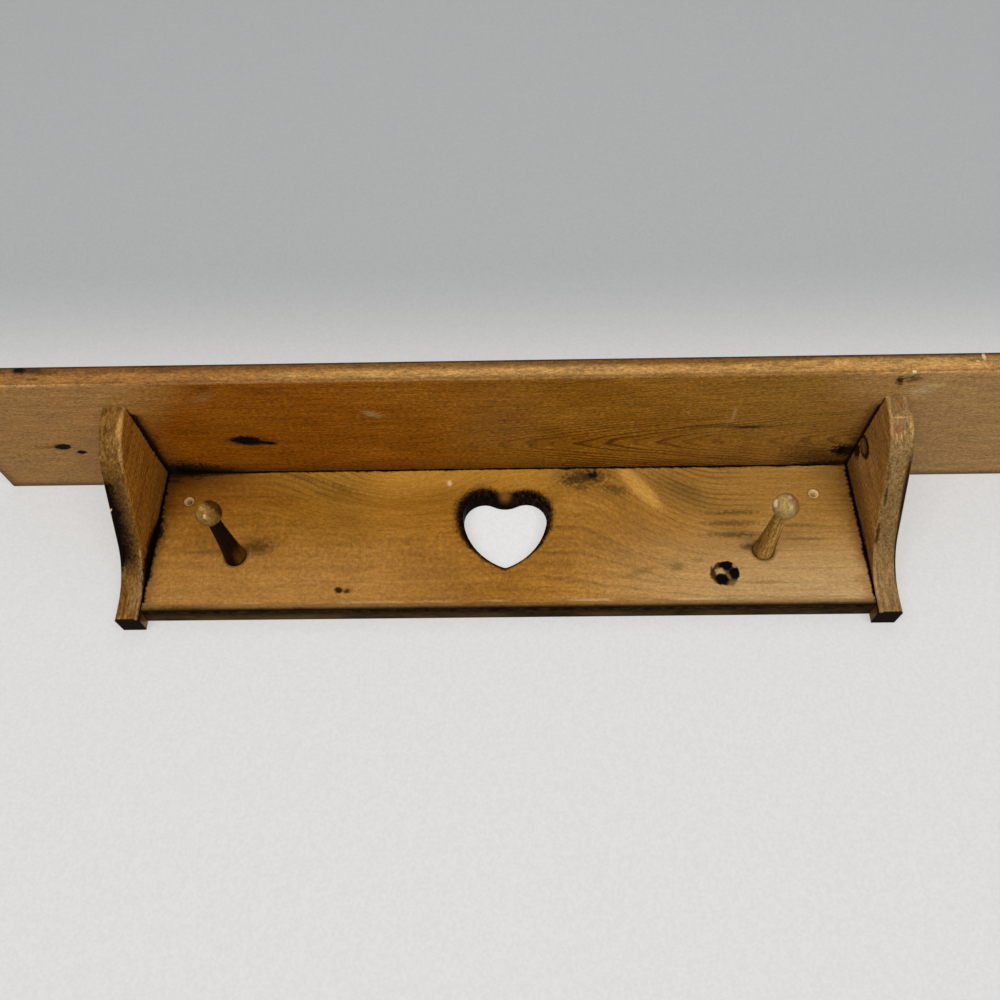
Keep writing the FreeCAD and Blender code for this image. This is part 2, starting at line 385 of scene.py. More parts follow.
def mark(at, half, colour, amount, ragged, soft, turn=0.0, axis="z", dent=0.0):  # a knot, scrape or stain, a painted shadow or shade, or a painted highlight
    return {
        "at": at, "half": half, "colour": colour, "amount": amount, "ragged": ragged,
        "soft": soft, "turn": turn, "axis": axis, "dent": dent,
    }


def zone(sheet, fades, *masks):  # where all the fades and masks meet
    parts = list(masks)
    for name, spans in fades.items():
        for span in spans if isinstance(spans, list) else [spans]:
            parts.append(ease(sheet["tree"], sheet["fields"][name], *span))
    return product(sheet["tree"], *parts)


def sumOfZones(sheet, zones):
    total = zone(sheet, zones[0])
    for fades in zones[1:]:
        total = calc(sheet["tree"], "ADD", total, zone(sheet, fades))
    return total


def startWood(name, look):
    material, tree = newMaterial(name)
    coords = addNode(tree, "TexCoord").outputs
    place = scaled(tree, coords["Object"], millimetres)
    fields = dict(zip("xyz", split(tree, place)))
    fields["side"] = calc(tree, "ABSOLUTE", fields["x"])
    fields["drop"] = product(tree, fields["z"], -1.0)
    sheet = {"material": material, "tree": tree, "place": place, "fields": fields}
    grainPlace = joined(tree, *[fields[letter] for letter in look["grainAxes"]])
    if "climb" in look:
        climb = joined(tree, 0.0, sumOfZones(sheet, look["climb"]), 0.0)
        grainPlace = calcVector(tree, "ADD", grainPlace, climb)
    rings = look["ringStrength"]
    wood = useGroup(
        tree,
        stainedPine,
        {
            "Place": grainPlace,
            "Deep": look["deep"],
            "Mid": look["mid"],
            "Pale": look["pale"],
            "Pith Across": look["pithAcross"],
            "Pith Depth": look["pithDepth"],
            "Taper": look["taper"],
            "Ring Gap": look["ringGap"],
            "Wander": look["wander"],
            "Ring Strength": sumOfZones(sheet, rings) if isinstance(rings, list) else rings,
            "Streaks": look["streaks"],
            "Speckle": look["speckle"],
            "Seed": look["seed"],
        },
    )
    sheet["grainPlace"] = grainPlace
    sheet["facing"] = split(tree, coords["Normal"])
    for key in ("Colour", "Mottle", "Roughness", "Height"):
        sheet[key.lower()] = wood[key]
    return sheet


def addMasks(sheet, masks):  # each is a field of its own, 1 where it holds
    for name, fades in masks.items():
        sheet["fields"][name] = zone(sheet, fades)


def paint(sheet, mask, colour, amount=1.0, roughness=None, dent=0.0, blend="MIX"):
    tree = sheet["tree"]
    strength = product(tree, mask, zone(sheet, amount) if isinstance(amount, dict) else amount)
    sheet["colour"] = mixColour(tree, strength, sheet["colour"], stainColours.get(colour, colour), blend)
    if roughness is not None:
        sheet["roughness"] = mixValue(tree, strength, sheet["roughness"], roughness)
    if dent:
        sheet["height"] = minus(tree, sheet["height"], product(tree, mask, dent))


def patches(sheet, size, cover, soft=0.1, seed=0.0):
    inputs = {"Place": sheet["place"], "Size": size, "Cover": cover, "Soft": soft, "Seed": seed}
    return useGroup(sheet["tree"], patchMask, inputs)["Mask"]


def paintWashes(sheet, washes):
    for tint in washes:
        masks = [sheet["fields"][name] for name in tint["within"]]
        if tint["patch"]:
            masks.append(patches(sheet, *tint["patch"]))
        mask = zone(sheet, tint["fades"], *masks)
        paint(sheet, mask, tint["colour"], tint["amount"], tint["roughness"], blend=tint["blend"])


def paintSeam(sheet, distance, width, bleed, colour="black", amount=1.0, seed=0.0, thin=None, beyond=None):
    if thin:  # fades that the distance is multiplied by
        distance = product(sheet["tree"], distance, zone(sheet, thin))
    if beyond is not None:  # added where the seam must not show
        distance = calc(sheet["tree"], "ADD", distance, beyond)
    place = sheet["grainPlace"]  # stain creeps along the grain
    inputs = {"Place": place, "Distance": distance, "Width": width, "Bleed": bleed, "Seed": seed}
    paint(sheet, useGroup(sheet["tree"], seamStain, inputs)["Mask"], colour, amount, seamRoughness)


def paintRub(sheet, faces, reach, patchy, colour="bare", amount=1.0, seed=0.0):
    inputs = {
        "Place": sheet["place"],
        "Off One Face": sheet["fields"][faces[0]],
        "Off Other Face": sheet["fields"][faces[1]],
        "Reach": reach,
        "Patchy": patchy,
        "Seed": seed,
    }
    mask = useGroup(sheet["tree"], rubbedEdgeAndHighlight, inputs)["Mask"]
    paint(sheet, mask, colour, amount, rubRoughness, rubDent)


def paintMarks(sheet, marks):
    for spot in marks:
        inputs = {
            "Place": sheet["place"],
            "Centre": spot["at"],
            "Half Size": spot["half"],
            "Turn Axis": turnAxes[spot["axis"]],
            "Turn": math.radians(spot["turn"]),
            "Ragged": spot["ragged"],
            "Soft": spot["soft"],
        }
        mask = useGroup(sheet["tree"], spotMark, inputs)["Mask"]
        paint(sheet, mask, spot["colour"], spot["amount"], markRoughness, spot["dent"])


def finishWood(sheet, look, name):
    tree = sheet["tree"]
    bump = {"Strength": look["bump"], "Distance": bumpDistance, "Height": sheet["height"]}
    shader = addNode(
        tree,
        "BsdfPrincipled",
        {
            "Base Color": mixColour(tree, 1.0, sheet["colour"], sheet["mottle"], "MULTIPLY"),
            "Roughness": sheet["roughness"],
            "Normal": addNode(tree, "Bump", bump).outputs[0],
            "Coat Weight": ease(tree, sheet["roughness"], *varnishLost, 0.0, look["varnish"]),
        },
    )
    shader.inputs["Specular IOR Level"].default_value = look["gloss"]
    shader.inputs["Coat Roughness"].default_value = look["varnishRoughness"]
    showSurface(tree, shader)
    nodes[name].material_slots[0].material = sheet["material"]


# Shelf board

shelfLook = {
    "grainAxes": "xyz",
    "deep": (0.190, 0.068, 0.003, 1),
    "mid": (0.335, 0.135, 0.008, 1),
    "pale": (0.460, 0.220, 0.032, 1),
    "pithAcross": -59.0,
    "pithDepth": 12.0,
    "taper": -0.147,
    "ringGap": 3.4,
    "wander": 5.0,
    "ringStrength": [  # the arched grain shows left of the right bracket, in the half next to the wall
        {
            "x": [(-30.0, 90.0, 0.15, 0.9), (330.0, 290.0, 0.3, 1.0)],
            "y": [(-78.0, -105.0, 1.0, 0.3), (-12.0, -2.0, 1.0, 0.4)],
            "side": (449.4, 450.6, 1.0, 3.5),  # rings on the sawn ends
        },
    ],
    "seed": 3.0,
    "bump": 0.35,
    "streaks": 0.6,
    "speckle": 1.3,
    "gloss": 0.08,
    "varnish": 0.13,
    "varnishRoughness": 0.35,
    "bracketInner": 300.7,
    "seamDepth": -19.0,
    "paleLean": (-70.0, -150.0, 0.0, 44.0),  # the paler ends reach further in at the front
    "masks": {
        "inside": {"paleReach": (349.7, 274.7)},
        "framed": {"side": (302.7, 298.7)},
        "underside": {"z": (3.0, 0.5)},
        "topFace": {"toTop": (1.2, 0.2)},
        "onFront": {"toFront": (1.5, 0.4)},
    },
    "washes": [
        wash((0.92, 0.63, 0.16, 1), 0.85, ("inside", "underside"), blend="MULTIPLY", x=(80.0, -160.0)),
        wash((0.385, 0.208, 0.046, 1), 0.5, ("inside", "underside"), x=(60.0, 280.0)),
        wash((0.505, 0.268, 0.083, 1), 0.68, ("outside",)),  # the paler ends, partly a painted sheen: the pale surface reflected off the underside
        wash((0.300, 0.150, 0.046, 1), 0.32, ("outside", "underside"), ((46.0, 15.0, 15.0), 0.45, 0.2, 18.0)),
        # paler at the right end too, partly painted sheen
        wash((0.560, 0.345, 0.135, 1), 0.35, ("outside",), x=(0.0, 100.0)),
    ],
    "knotsStainsAndShadows": [
        mark((-386.0, -64.0, 0), (22.0, 5.0, 6.0), "umber", 0.45, 0.4, 1.0),
        mark((-376.0, -64.3, 0), (8.8, 5.2, 6.0), "black", 1.0, 0.25, 0.35, turn=12, dent=0.6),
        mark((-363.6, -55.7, 0), (5.6, 3.6, 6.0), "black", 1.0, 0.3, 0.4, turn=8, dent=0.4),
        mark((-214.0, -69.0, 0), (36.0, 12.0, 8.0), "umber", 0.7, 0.35, 0.9),
        mark((-217.0, -70.0, 0), (16.6, 8.4, 8.0), "black", 1.0, 0.35, 0.4, turn=-6, dent=0.6),
        mark((-200.0, -66.0, 0), (11.0, 3.6, 6.0), "black", 1.0, 0.3, 0.6, turn=-8),
        # painted shade in the corner by the right bracket
        mark((272.0, -34.0, 0), (52.0, 24.0, 5.0), "umber", 0.75, 0.5, 1.0, turn=-8),
        mark((295.0, -42.0, 0), (17.0, 10.0, 5.0), "black", 1.0, 0.6, 0.4, turn=-14, dent=0.3),
        mark((292.0, -19.0, 0), (46.0, 9.0, 5.0), "black", 1.0, 0.5, 0.45),
        # painted shade in the corner by the left bracket
        mark((-290.0, -25.0, 0), (44.0, 22.0, 5.0), (0.020, 0.007, 0.003, 1), 0.95, 0.6, 0.9, turn=6),
        mark((-284.0, -21.0, 0), (60.0, 15.0, 5.0), "black", 1.0, 0.5, 0.5),
        mark((-236.0, -131.0, 0), (17.0, 8.0, 3.0), "bare", 0.3, 0.5, 1.0, turn=33),
        mark((-231.0, -144.0, 0), (11.0, 4.0, 3.0), "umber", 0.45, 0.6, 0.9),
        mark((202.0, -80.0, 0), (24.0, 3.6, 5.0), "umber", 0.85, 0.4, 0.8),
        mark((180.0, -82.0, 0), (62.0, 4.6, 5.0), "umber", 0.5, 0.5, 1.0),
    ],
    "shades": [
        wash((0.340, 0.150, 0.026, 1), 0.7, ("topFace",)),
        wash((0.470, 0.265, 0.085, 1), 0.35, ("topFace",), ((70.0, 24.0, 24.0), 0.45, 0.2, 40.0), 0.6),
        wash("umber", 0.75, ("outside",), z=(6.0, 1.0), y=(-10.0, 0.0)),  # painted shade next to the wall
        # painted shade towards the ends of the underside
        wash("umber", 0.6, ("underside",), toEnd=(12.0, 0.0)),
        # painted shade along the seam with the back board
        wash("umber", 0.7, ("framed", "underside"), fromSeam=(20.0, 1.0), x=(-310.0, 100.0, 1.0, 0.7)),
    ],
    "seamRise": (0.8, 2.6, 0.0, 60.0),  # the seams show on the underside alone
    "seamLimit": 60.0,
    "backSeam": {"width": 0.8, "bleed": 2.4, "seed": 5.0},
    "cornerSeam": {"width": 3.2, "bleed": 4.0, "seed": 6.0, "thin": {"x": (-290.0, -190.0, 0.35, 3.0)}},
    "bracketEnd": (-108.0, -122.0, 0.0, 40.0),  # no seam in front of the brackets
    "bracketShade": [wash("umber", 0.65, ("underside",), fromBracket=(13.0, 1.0))],
    "bracketSeam": {
        "width": 5.0, "bleed": 3.2, "amount": 0.9, "seed": 9.0, "thin": {"x": (-10.0, 10.0, 1.0, 2.0)},
    },
    "wearRise": (160.0, 260.0, 0.0, 3.0),  # the worn band of the front climbs to the right
    "worn": {
        "z": (1.8, 5.0),
        "wearHeight": (14.0, 7.5),
        "x": [(-340.0, -60.0, 0.2, 1.0), (410.0, 330.0, 0.5, 1.0)],
    },
    "frontWashes": [
        wash((0.240, 0.100, 0.020, 1), 0.7, ("onFront",)),
        wash((0.100, 0.044, 0.011, 1), 0.8, ("onFront",), toTop=(12.0, 0.0)),
        wash((0.235, 0.112, 0.024, 1), 0.7, ("onFront", "inside"), z=(4.5, 1.5)),
        wash((0.520, 0.285, 0.085, 1), 0.55, ("worn",), roughness=0.6),
        wash((0.520, 0.285, 0.085, 1), 0.75, ("worn",), ((30.0, 9.0, 5.0), 0.5, 0.12, 2.0), 0.65),
        wash((0.90, 0.82, 0.76, 1), 1.0, ("onFront",), blend="MULTIPLY", x=(-80.0, -260.0)),
        wash("umber", 0.35, ("onFront",), ((16.0, 6.0, 4.0), 0.34, 0.12, 22.0)),  # grime
    ],
    "rubs": [
        {
            "faces": ("toFront", "z"), "reach": 1.9, "patchy": 0.7, "seed": 2.0,
            "amount": {"side": (260.0, 340.0, 0.1, 0.7)},
        },
        {
            "faces": ("toFront", "toTop"), "reach": 3.0, "patchy": 0.35, "seed": 7.0,
            "colour": (0.032, 0.015, 0.005, 1), "amount": 0.95,
        },
        {"faces": ("toTop", "toEnd"), "reach": 3.0, "patchy": 0.7, "seed": 4.0, "amount": 0.5},
    ],
    "scrapes": [
        mark((-105.0, -106.0, 0), (13.0, 6.0, 3.0), (0.40, 0.25, 0.08, 1), 0.8, 0.5, 0.8, turn=-24),
        mark((-368.0, -150.0, 15.6), (15.0, 3.0, 4.6), (0.045, 0.020, 0.010, 1), 0.9, 0.5, 0.7),
        mark((-376.5, -150.0, 15.2), (7.0, 3.0, 4.4), "black", 1.0, 0.4, 0.6),
        mark((-355.0, -150.0, 12.4), (18.0, 3.0, 4.0), "umber", 0.6, 0.6, 0.9),
        mark((-364.0, -150.0, 6.6), (7.0, 3.0, 2.0), "umber", 0.7, 0.5, 0.8),
        mark((186.7, -99.0, 0), (2.6, 15.0, 3.0), "bare", 0.7, 0.3, 0.8, turn=3),
        mark((184.0, -86.0, 0), (1.6, 7.0, 3.0), "bare", 0.4, 0.3, 0.9, turn=-3),
        mark((150.0, -101.5, 0), (2.4, 5.0, 3.0), "bare", 0.35, 0.4, 0.9),
        mark((313.0, -149.9, 1.2), (1.9, 2.0, 2.0), "chipAndHighlight", 0.9, 0.5, 0.5, dent=0.8),
        mark((304.5, -149.0, 0.8), (4.0, 1.6, 1.2), "bare", 0.8, 0.5, 0.6),
        mark((368.4, -150.0, 14.6), (1.9, 2.0, 4.0), "chipAndHighlight", 0.7, 0.5, 0.6),
        mark((362.7, -150.0, 10.5), (2.2, 2.0, 1.4), "chipAndHighlight", 0.5, 0.5, 0.7),
        mark((304.6, -141.0, 0), (4.4, 8.0, 3.0), "umber", 1.0, 0.7, 0.7, turn=20, dent=0.8),
        mark((314.0, -143.0, 0), (11.0, 6.0, 3.0), "umber", 0.75, 0.8, 0.8),
        mark((328.0, -128.5, 0), (22.0, 9.0, 3.0), (0.62, 0.42, 0.20, 1), 0.8, 0.4, 1.0, turn=33),
    ],
}


def dressShelf(look):
    sheet = startWood("shelfPine", look)
    tree, fields = sheet["tree"], sheet["fields"]
    low, high = inMillimetres(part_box("shelf_board"))
    x, y, z, side = (fields[name] for name in ("x", "y", "z", "side"))
    fields["toFront"] = minus(tree, y, low[1])
    fields["toTop"] = minus(tree, high[2], z)
    fields["toEnd"] = calc(tree, "MINIMUM", minus(tree, x, low[0]), minus(tree, high[0], x))
    fields["fromSeam"] = apart(tree, y, look["seamDepth"])
    fields["paleReach"] = calc(tree, "ADD", side, ease(tree, y, *look["paleLean"]))
    addMasks(sheet, look["masks"])
    fields["outside"] = minus(tree, 1.0, fields["inside"])
    paintWashes(sheet, look["washes"])
    paintMarks(sheet, look["knotsStainsAndShadows"])
    paintWashes(sheet, look["shades"])

    raised = ease(tree, z, *look["seamRise"])
    unframed = calc(tree, "MULTIPLY_ADD", minus(tree, 1.0, fields["framed"]), look["seamLimit"], raised)
    paintSeam(sheet, fields["fromSeam"], **look["backSeam"], beyond=unframed)
    paintSeam(sheet, fields["fromSeam"], **look["cornerSeam"], beyond=unframed)
    fromBracket = calc(tree, "ADD", apart(tree, side, look["bracketInner"]), raised)
    fields["fromBracket"] = calc(tree, "ADD", fromBracket, ease(tree, y, *look["bracketEnd"]))
    paintWashes(sheet, look["bracketShade"])
    paintSeam(sheet, fields["fromBracket"], **look["bracketSeam"])

    fields["wearHeight"] = minus(tree, z, ease(tree, x, *look["wearRise"]))
    fields["worn"] = zone(sheet, look["worn"], fields["onFront"])
    paintWashes(sheet, look["frontWashes"])
    for innerArrisRubAndHighlight in look["rubs"]:
        paintRub(sheet, **innerArrisRubAndHighlight)
    paintMarks(sheet, look["scrapes"])
    finishWood(sheet, look, "shelf_board")


dressShelf(shelfLook)
print("shelf board dressed")


# Back board

backLook = {
    "grainAxes": "xzy",
    "deep": (0.180, 0.062, 0.003, 1),
    "mid": (0.340, 0.143, 0.013, 1),
    "pale": (0.490, 0.250, 0.055, 1),
    "pithAcross": -150.0,
    "pithDepth": 45.0,
    "taper": 0.02,
    "ringGap": 5.2,
    "wander": 14.0,
    "ringStrength": [  # slanting lines show in two places under the shelf
        {"x": (-40.0, 130.0, 0.08, 0.26)},
        {"x": [(-220.0, -185.0), (-95.0, -125.0)], "z": (-38.0, -14.0, 0.0, 0.55)},
        {"x": [(125.0, 150.0), (225.0, 180.0)], "z": (-64.0, -26.0, 0.0, 0.5)},
    ],
    "climb": [  # the grain climbs towards the shelf on both sides of the heart
        {"x": (190.0, 60.0, 0.0, -58.0), "z": (-150.0, 0.0)},
        {"x": [(-215.0, -95.0, 0.0, 40.0), (20.0, -95.0)], "z": (-70.0, -5.0)},
    ],
    "seed": 8.0,
    "bump": 0.35,
    "streaks": 0.35,
    "speckle": 0.62,
    "gloss": 0.03,
    "varnish": 0.13,
    "varnishRoughness": 0.35,
    "masks": {
        "bottom": {"toBottom": (1.2, 0.3)},
        "nearFront": {"toFront": (17.0, 13.0)},
    },
    "washes": [
        wash((0.128, 0.031, 0.001, 1), 0.78, x=(-90.0, -290.0), drop=(80.0, 5.0)),  # red upper left corner
        wash((0.060, 0.014, 0.002, 1), 0.8, x=(-215.0, -300.0), drop=(26.0, 2.0)),
        wash((0.415, 0.225, 0.058, 1), 0.55, x=(-40.0, 240.0)),  # paler towards the right
        # paler low on the board, partly a painted sheen of the pale surface
        wash((0.550, 0.365, 0.172, 1), 0.6, x=(20.0, 240.0), drop=(45.0, 120.0)),
        wash((0.400, 0.200, 0.064, 1), 0.42, x=(20.0, -140.0), drop=(40.0, 115.0)),
        wash((0.570, 0.285, 0.042, 1), 0.5, x=[(-250.0, -150.0), (80.0, 20.0)], drop=(34.0, 6.0)),  # golden, and painted light just under the shelf against its shade
    ],
    "knotsStainsAndShadows": [
        mark((-140.0, -19, -48.0), (40.0, 6.0, 60.0), (0.215, 0.105, 0.012, 1), 0.45, 0.4, 1.0),
        mark((-158.0, -19, -10.0), (72.0, 6.0, 28.0), (0.135, 0.066, 0.008, 1), 0.26, 0.5, 1.0,
             turn=-8, axis="y"),
        mark((-178.0, -19, -7.0), (28.0, 6.0, 5.0), "umber", 0.4, 0.9, 1.0, turn=-14, axis="y"),
        mark((-144.0, -19, -18.0), (30.0, 6.0, 6.0), "umber", 0.35, 0.9, 1.0, turn=-24, axis="y"),
        mark((-258.0, -19, -79.0), (30.0, 5.0, 4.0), "umber", 0.4, 0.5, 1.0),
        mark((-299.0, -19, -60.0), (7.0, 6.0, 15.0), "black", 0.95, 0.9, 0.6),
        mark((66.0, -19, -10.0), (36.0, 6.0, 16.0), (0.085, 0.044, 0.011, 1), 0.75, 0.6, 1.0),
        mark((74.0, -19, -9.0), (24.0, 6.0, 11.0), "umber", 0.8, 0.6, 0.9),
        mark((76.8, -19, -7.4), (7.0, 5.0, 6.0), "black", 0.9, 0.7, 0.8),
        mark((58.0, -19, -13.0), (14.0, 6.0, 7.0), (0.060, 0.028, 0.008, 1), 0.75, 0.7, 0.9),
        mark((66.0, -19, -20.5), (8.0, 6.0, 5.0), (0.080, 0.038, 0.010, 1), 0.65, 0.7, 0.9),
        mark((96.0, -19, -22.0), (17.0, 6.0, 8.0), (0.080, 0.038, 0.010, 1), 0.7, 0.7, 0.9,
             turn=-20, axis="y"),
        mark((154.0, -19, -24.0), (46.0, 6.0, 19.0), (0.130, 0.070, 0.014, 1), 0.6, 0.5, 1.0,
             turn=-36, axis="y"),
        mark((118.0, -19, -21.0), (34.0, 7.0, 9.6), (0.600, 0.310, 0.060, 1), 0.85, 0.3, 0.5,
             turn=-53, axis="y"),
        mark((198.0, -19, -47.0), (34.0, 5.0, 3.2), "umber", 0.6, 0.6, 0.9),
        mark((192.0, -19, -57.5), (40.0, 5.0, 3.6), "umber", 0.6, 0.6, 0.9),
        mark((194.0, -19, -68.5), (36.0, 5.0, 3.8), "umber", 0.65, 0.6, 0.9),
        mark((246.0, -19, -60.0), (30.0, 5.0, 2.8), "umber", 0.4, 0.7, 0.9),
        mark((252.0, -19, -73.0), (26.0, 5.0, 2.6), "umber", 0.4, 0.7, 0.9),
        mark((142.6, -19, -98.0), (11.0, 6.0, 6.0), "olive", 0.7, 0.7, 0.9),
        mark((112.0, -19, -102.0), (22.0, 6.0, 5.0), "olive", 0.65, 0.6, 1.0, turn=16, axis="y"),
        mark((160.0, -19, -91.5), (9.0, 6.0, 3.0), "olive", 0.5, 0.6, 0.9),
        mark((155.0, -19, -105.0), (15.0, 6.0, 2.4), "bare", 0.4, 0.4, 0.9),
        mark((215.0, -19, -113.0), (20.0, 6.0, 2.6), "olive", 0.45, 0.5, 0.9),
        mark((181.0, -19, -105.0), (17.0, 8.0, 15.0), "bare", 0.35, 0.3, 0.9),
        mark((181.2, -19, -104.4), (12.8, 8.0, 11.8), (0.030, 0.013, 0.005, 1), 0.95, 0.22, 0.2, dent=0.4),
        mark((183.6, -19, -97.0), (7.4, 8.0, 4.8), "black", 1.0, 0.3, 0.3, turn=12, axis="y", dent=0.8),
        mark((189.4, -19, -105.0), (5.2, 8.0, 7.6), "black", 1.0, 0.3, 0.3, turn=-18, axis="y", dent=0.8),
        mark((178.2, -19, -103.2), (5.6, 8.0, 5.2), (0.46, 0.32, 0.15, 1), 0.95, 0.35, 0.6,
             turn=-34, axis="y"),
        mark((178.8, -19, -109.4), (6.6, 8.0, 6.0), "black", 1.0, 0.25, 0.3, dent=1.0),
        mark((184.6, -19, -106.4), (2.2, 8.0, 6.0), (0.16, 0.095, 0.045, 1), 0.9, 0.4, 0.8,
             turn=24, axis="y"),
        mark((187.4, -19, -113.0), (6.0, 8.0, 4.4), "olive", 0.9, 0.4, 0.8, turn=30, axis="y"),
        mark((172.2, -19, -102.5), (2.2, 8.0, 6.0), "umber", 0.85, 0.4, 0.7, turn=20, axis="y"),
        mark((-138.4, -19, -115.9), (4.6, 5.0, 4.2), "black", 0.95, 0.4, 0.6, dent=0.6),
        mark((-131.6, -19, -116.6), (5.4, 5.0, 3.2), "black", 0.85, 0.5, 0.8),
        mark((-272.0, -19, -131.5), (42.0, 6.0, 5.0), "black", 0.8, 0.6, 0.9),
        mark((-48.7, -19, -14.4), (3.0, 3.0, 4.0), "chipAndHighlight", 0.75, 0.5, 0.7),
        mark((139.0, -19, -80.2), (26.0, 3.0, 0.8), "bare", 0.35, 0.15, 0.9),
        # painted shadow beside the left peg
        mark((-209.0, -19, -76.0), (25.0, 5.0, 13.0), "umber", 0.7, 0.4, 1.0),
        # painted shadow beside the right peg
        mark((204.0, -19, -80.0), (11.0, 5.0, 5.0), "umber", 0.75, 0.5, 1.0),
    ],
    "shelfSeam": {"width": 0.7, "bleed": 2.1, "seed": 11.0},
    "cornerSeam": {
        "width": 1.6, "bleed": 5.0, "amount": 0.9, "seed": 21.0, "thin": {"x": (-300.0, -170.0, 0.35, 2.5)},
    },
    "leftShade": [wash("umber", 0.4, toLeft=(14.0, 1.0))],
    "leftSeam": {
        "width": 2.0, "bleed": 7.0, "seed": 31.0,
        "thin": {"drop": [(96.0, 110.0, 1.0, 2.6), (58.0, 44.0, 1.0, 1.5)]},
    },
    "rightHalo": {
        "width": 6.0, "bleed": 18.0, "colour": (0.25, 0.085, 0.008, 1), "amount": 0.45, "seed": 43.0,
    },
    "rightSeam": {"width": 1.3, "bleed": 3.6, "seed": 41.0},
    "behind": (13.0, 17.0, 0.0, 40.0),  # keeps stain off the face against the wall
    "heart": {"lobe": (18.3, -44.6, 18.0), "cleft": (-9.03, 22.0), "side": (-18.1, 54.4), "slope": 0.514},
    "heartSpread": {  # widest above the lobes and on the left, and little of it on the back
        "z": (-92.0, -56.0, 0.42, 1.0),
        "x": (-24.0, 28.0, 1.12, 0.74),
        "toFront": (17.0, 18.8, 1.0, 0.3),
    },
    "heartHalo": {"width": 6.5, "bleed": 13.0, "colour": "umber", "amount": 0.4, "seed": 61.0},
    "heartStain": {"width": 7.6, "bleed": 3.4, "seed": 51.0},
    "heartWashes": [
        wash(
            (0.060, 0.026, 0.006, 1), 0.8, (), ((3.0, 6.0, 3.0), 0.4, 0.1, 33.0), 0.8,
            rim=(8.0, 2.0), x=(-10.0, 20.0, 0.3, 1.0),
        ),  # flecks in the stain
        wash(
            (0.230, 0.100, 0.016, 1), 0.8,
            side=(8.0, 0.5), z=[(-37.0, -30.0), (-18.0, -26.0)], toFront=(13.0, 1.5),
        ),  # bare wood in the cleft
    ],
    "lowerShade": [wash((0.135, 0.064, 0.014, 1), 0.85, toBottom=(10.0, 1.2))],
    "bottomSeam": {"width": 0.6, "bleed": 3.4, "amount": 0.45, "seed": 71.0},
    "glintHeight": 6.8,
    "bottomWashes": [
        wash("black", 0.95, roughness=0.85, toBottom=(4.2, 0.8)),
        wash((0.080, 0.048, 0.018, 1), 0.2, ("bottom",), toFront=(3.0, 8.0)),
        wash(
            (0.190, 0.112, 0.040, 1), 0.65, ("bottom",), ((110.0, 40.0, 40.0), 0.46, 0.14, 12.0),
            toFront=(4.0, 16.0),
        ),
        wash((0.150, 0.080, 0.022, 1), 0.35, ("bottom",), ((7.0, 4.0, 4.0), 0.36, 0.2, 14.0)),
        wash(
            (0.620, 0.400, 0.175, 1), 0.6, (), ((34.0, 6.0, 6.0), 0.42, 0.1, 16.0),
            fromGlint=(1.6, 0.4), x=(-80.0, 90.0, 0.6, 1.0),
        ),  # painted glint: a highlight line where the round-over begins
    ],
    "screwHoles": [(-277.5, -29.4, 0.5), (267.5, -29.4, 0.9)],  # x, z and how bare the wood in them is
    "screwRing": 2.9,
    "screwShade": wash("umber", 0.3, ("nearFront",), away=(7.0, 4.4)),
    "screwWood": wash((0.860, 0.590, 0.270, 1), 1.0, ("nearFront",), roughness=0.8, away=(4.6, 3.9)),
    "screwLine": wash((0.300, 0.165, 0.045, 1), 0.35, fromRing=(0.8, 0.3)),
    "pegHoles": [(-228.7, -83.5), (216.2, -83.5)],
    "pegShade": wash("umber", 0.6, ("nearFront",), away=(12.0, 9.0)),
}


def fromPoint(tree, first, second, firstAt, secondAt):
    return vectorLength(tree, joined(tree, minus(tree, first, firstAt), minus(tree, second, secondAt), 0.0))


def fromHeart(tree, fields, heart):  # distance outside the heart's outline
    farAway = 900.0
    lobeX, lobeZ, lobeRadius = heart["lobe"]
    cleftZ, cleftRadius = heart["cleft"]
    sideX, sideRadius = heart["side"]
    half = fields["side"]
    rise = minus(tree, fields["z"], lobeZ)
    fromCleft = minus(tree, fields["z"], cleftZ)
    lobe = minus(tree, vectorLength(tree, joined(tree, minus(tree, half, lobeX), rise, 0.0)), lobeRadius)
    side = minus(tree, vectorLength(tree, joined(tree, minus(tree, half, sideX), rise, 0.0)), sideRadius)
    side = calc(tree, "MULTIPLY_ADD", calc(tree, "GREATER_THAN", rise, 0.0), farAway, side)
    cleft = minus(tree, cleftRadius, vectorLength(tree, joined(tree, half, fromCleft, 0.0)))
    cleft = calc(tree, "MULTIPLY_ADD", calc(tree, "LESS_THAN", rise, 0.0), farAway, cleft)
    wedge = calc(tree, "MULTIPLY_ADD", fromCleft, heart["slope"], half)  # above 0 outside the cleft's arc
    cleft = calc(tree, "MULTIPLY_ADD", calc(tree, "GREATER_THAN", wedge, 0.0), farAway, cleft)
    return calc(tree, "MINIMUM", calc(tree, "MINIMUM", lobe, side), cleft)


